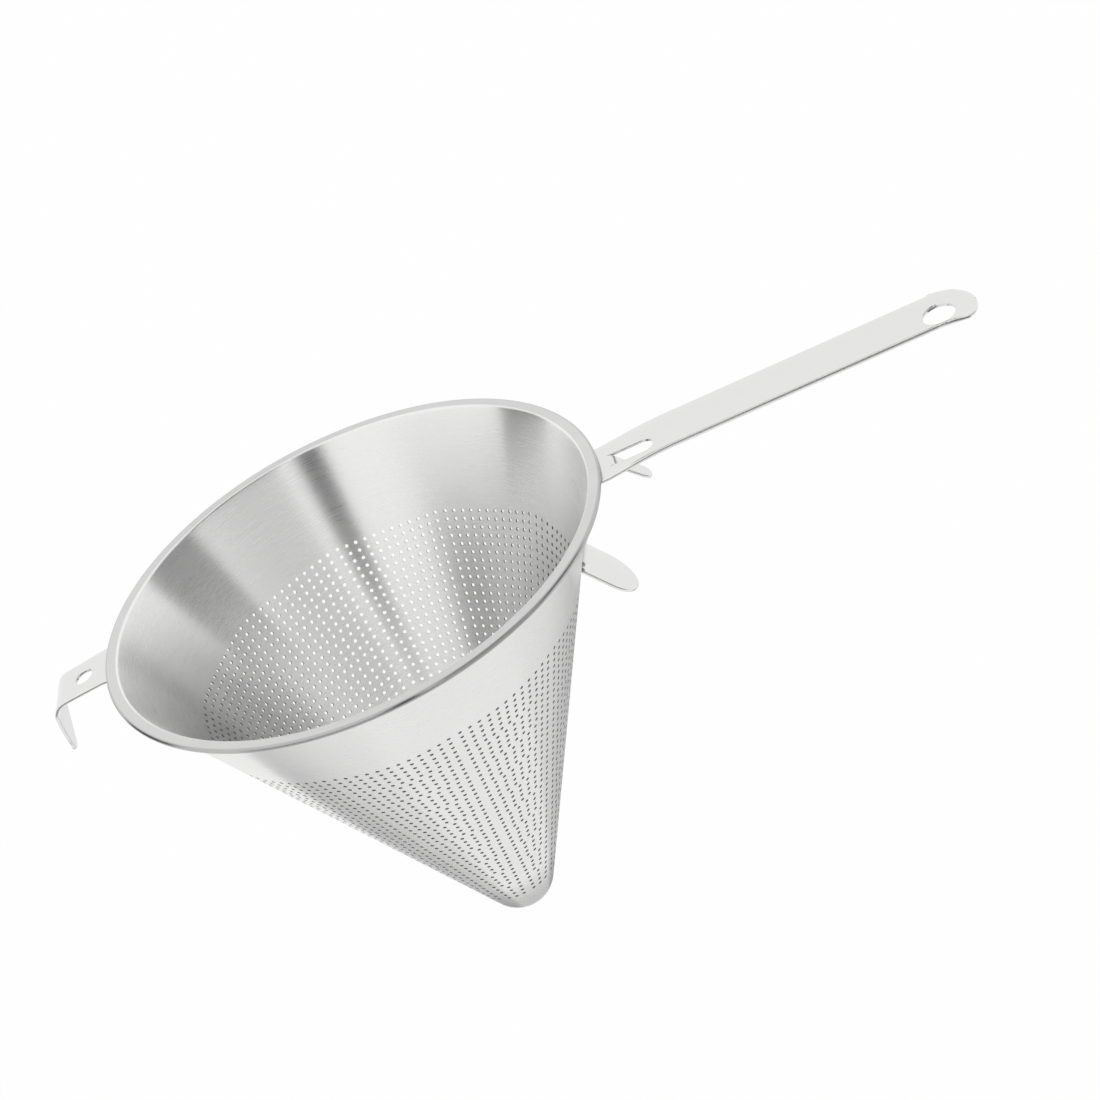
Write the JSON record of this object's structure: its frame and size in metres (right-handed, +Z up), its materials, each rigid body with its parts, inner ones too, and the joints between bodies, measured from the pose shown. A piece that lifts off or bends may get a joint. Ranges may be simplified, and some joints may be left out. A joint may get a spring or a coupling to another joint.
{
  "type": "chinois strainer",
  "caption": "Conical perforated sheet-steel strainer with a curled rim, one-piece trough handle, rest leaf, lanced tongue and a hole-pierced rest hook opposite.",
  "frame": {"origin": "centre of the rim's top face, on the cone's axis", "axes": "+Z up out of the mouth, +X along the handle, +Y to the left seen from the hook towards the handle"},
  "size_m": [0.453, 0.24, 0.2246],
  "materials": {
    "satin_steel": "satin stainless sheet",
    "polished_steel": "polished stainless strip",
    "weld_steel": "dressed weld"
  },
  "bodies": {
    "root": {"strainer_cone": "satin_steel", "seam_weld": "weld_steel", "tip_weld": "weld_steel", "tip_cap": "satin_steel", "handle": "polished_steel", "rest_hook": "polished_steel", "handle_tack_welds": "weld_steel", "hook_tack_welds": "weld_steel"}
  },
  "joints": []
}
